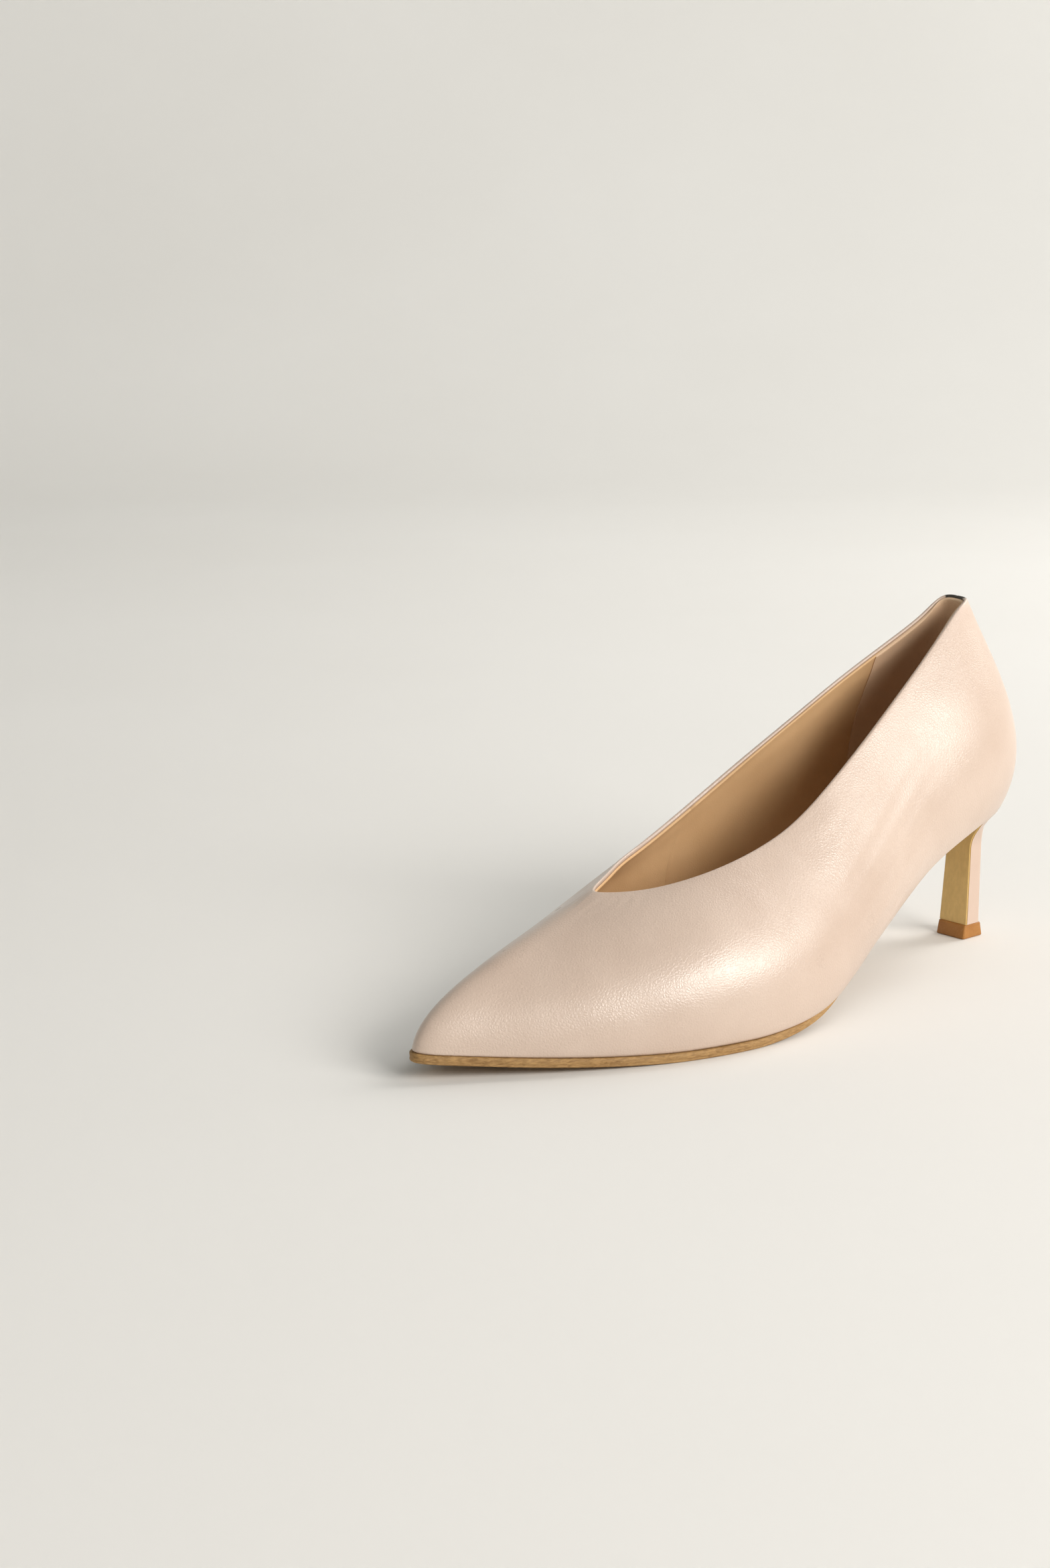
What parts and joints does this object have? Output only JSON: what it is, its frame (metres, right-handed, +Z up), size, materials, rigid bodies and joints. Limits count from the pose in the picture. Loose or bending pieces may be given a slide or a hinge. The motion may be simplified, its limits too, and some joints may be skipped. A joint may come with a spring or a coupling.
{
  "type": "high heel pump",
  "caption": "Pointed-toe court shoe with a low-cut deep throat, rounded closed back, slim wrapped mid heel and thin leather sole; left foot.",
  "frame": {"origin": "middle of the shoe's plan box, on the floor that the tread and the heel tip rest on", "axes": "-Y towards the toe, +X towards the outer side of the foot, +Z up"},
  "size_m": [0.0822, 0.2494, 0.1204],
  "materials": {
    "upper_leather": "semi-gloss fine-grained blush nappa",
    "lining_leather": "matt natural tan pigskin",
    "heel_grip_leather": "matt suede side out",
    "sock_leather": "smooth matt tan",
    "sole_leather": "buffed vegetable tanned, waxed edge",
    "heel_leather": "semi-gloss blush nappa, thin",
    "top_piece_rubber": "satin caramel",
    "heel_plastic": "moulded",
    "spring_steel": "tempered",
    "plated_steel": "zinc plated",
    "tape": "woven nylon",
    "interlining": "non-woven",
    "stiffener": "resin-impregnated sheet",
    "cork": "cork granules",
    "fibreboard": "dense",
    "insole_board": "cellulose board",
    "foam": "open-cell latex foam",
    "gel_pad": "soft"
  },
  "bodies": {
    "root": {"upper": "upper_leather", "topline_tape": "tape", "back_seam_tape": "tape", "toe_puff": "stiffener", "heel_counter": "stiffener", "vamp_interlining": "interlining", "vamp_lining": "lining_leather", "quarter_lining_outer": "lining_leather", "quarter_lining_inner": "lining_leather", "heel_grip": "heel_grip_leather", "outsole": "sole_leather", "bottom_filler": "cork", "shank": "spring_steel", "shank_rivets": "plated_steel", "insole_tuck": "fibreboard", "insole_board": "insole_board", "sock_foam": "foam", "heel_pad": "gel_pad", "sock_lining": "sock_leather", "heel_core": "heel_plastic", "heel_cover": "heel_leather", "top_piece": "top_piece_rubber", "top_piece_pin": "plated_steel", "heel_dowel": "spring_steel", "heel_screw": "plated_steel", "heel_nails": "plated_steel"}
  },
  "joints": []
}
